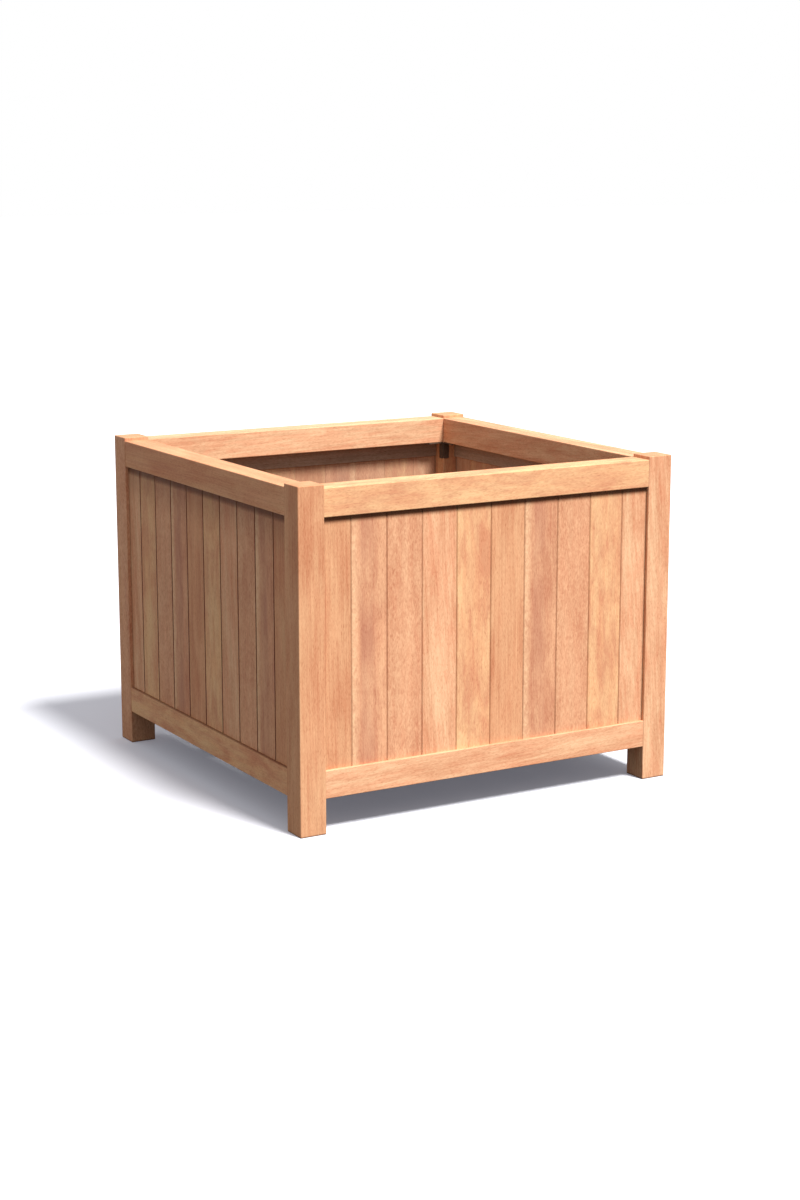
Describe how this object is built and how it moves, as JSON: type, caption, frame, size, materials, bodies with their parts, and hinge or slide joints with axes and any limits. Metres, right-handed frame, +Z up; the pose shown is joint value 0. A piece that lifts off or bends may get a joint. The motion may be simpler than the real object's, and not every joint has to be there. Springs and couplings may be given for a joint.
{
  "type": "square planter",
  "caption": "Square timber planter with corner posts, tenoned top and bottom rails, upright tongue-and-groove boards and a slatted floor that drains, standing on its posts.",
  "frame": {"origin": "on the ground under the middle of the planter", "axes": "+Z up, -Y towards the front wall, +X to the right seen from the front"},
  "size_m": [1, 1, 0.79],
  "materials": {
    "frame_timber": "planed hardwood, oiled",
    "board_timber": "planed hardwood, oiled",
    "floor_timber": "sawn hardwood, bare and greyed",
    "brace_steel": "dark brown powder coat on steel",
    "screw_steel": "turned stainless steel"
  },
  "bodies": {
    "root": {"back_board_01": "board_timber", "back_board_02": "board_timber", "back_board_03": "board_timber", "back_board_04": "board_timber", "back_board_05": "board_timber", "back_board_06": "board_timber", "back_board_07": "board_timber", "back_board_08": "board_timber", "back_board_09": "board_timber", "back_board_10": "board_timber", "bearer_cleats": "floor_timber", "bottom_rail_back": "frame_timber", "bottom_rail_front": "frame_timber", "bottom_rail_left": "frame_timber", "bottom_rail_right": "frame_timber", "brace_screws": "brace_steel", "corner_braces": "brace_steel", "floor_bearers": "floor_timber", "floor_boards": "floor_timber", "floor_edge_boards": "floor_timber", "floor_screws": "screw_steel", "front_board_01": "board_timber", "front_board_02": "board_timber", "front_board_03": "board_timber", "front_board_04": "board_timber", "front_board_05": "board_timber", "front_board_06": "board_timber", "front_board_07": "board_timber", "front_board_08": "board_timber", "front_board_09": "board_timber", "front_board_10": "board_timber", "left_board_01": "board_timber", "left_board_02": "board_timber", "left_board_03": "board_timber", "left_board_04": "board_timber", "left_board_05": "board_timber", "left_board_06": "board_timber", "left_board_07": "board_timber", "left_board_08": "board_timber", "left_board_09": "board_timber", "left_board_10": "board_timber", "post_back_left": "frame_timber", "post_back_right": "frame_timber", "post_front_left": "frame_timber", "post_front_right": "frame_timber", "retaining_laths": "board_timber", "right_board_01": "board_timber", "right_board_02": "board_timber", "right_board_03": "board_timber", "right_board_04": "board_timber", "right_board_05": "board_timber", "right_board_06": "board_timber", "right_board_07": "board_timber", "right_board_08": "board_timber", "right_board_09": "board_timber", "right_board_10": "board_timber", "top_rail_back": "frame_timber", "top_rail_front": "frame_timber", "top_rail_left": "frame_timber", "top_rail_right": "frame_timber"}
  },
  "joints": []
}
